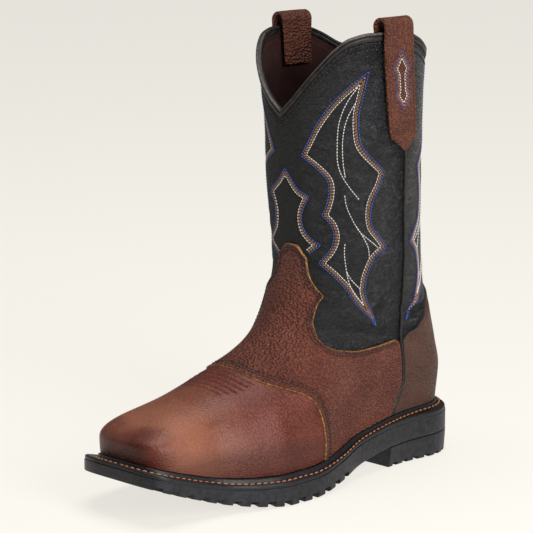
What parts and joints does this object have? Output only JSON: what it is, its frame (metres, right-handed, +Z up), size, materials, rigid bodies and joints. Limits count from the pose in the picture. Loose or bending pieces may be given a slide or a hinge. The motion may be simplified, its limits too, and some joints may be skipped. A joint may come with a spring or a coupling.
{
  "type": "western work boot",
  "caption": "Tall pull-on leather work boot with a broad square toe, scalloped collar, pull straps, storm welt and lugged rubber sole with a block heel.",
  "frame": {"origin": "centre of the heel's tread on the floor", "axes": "+Z up along the shaft, -Y towards the toe, +X towards the boot's outer side"},
  "size_m": [0.1188, 0.2951, 0.3142],
  "materials": {
    "outsole": "matte",
    "heel_block": "matte",
    "midsole": "matte",
    "welt": "satin",
    "insole": "matte",
    "upper": "satin",
    "vamp_toe": "satin",
    "vamp_saddle": "satin",
    "counter": "satin",
    "piping_outer": "satin",
    "piping_inner": "satin",
    "collar_binding": "satin",
    "pull_strap_outer": "satin",
    "pull_strap_inner": "satin"
  },
  "bodies": {
    "root": {"outsole": "outsole", "heel_block": "heel_block", "midsole": "midsole", "welt": "welt", "insole": "insole", "upper": "upper", "vamp_toe": "vamp_toe", "vamp_saddle": "vamp_saddle", "counter": "counter", "piping_outer": "piping_outer", "piping_inner": "piping_inner", "collar_binding": "collar_binding", "pull_strap_outer": "pull_strap_outer", "pull_strap_inner": "pull_strap_inner"}
  },
  "joints": []
}
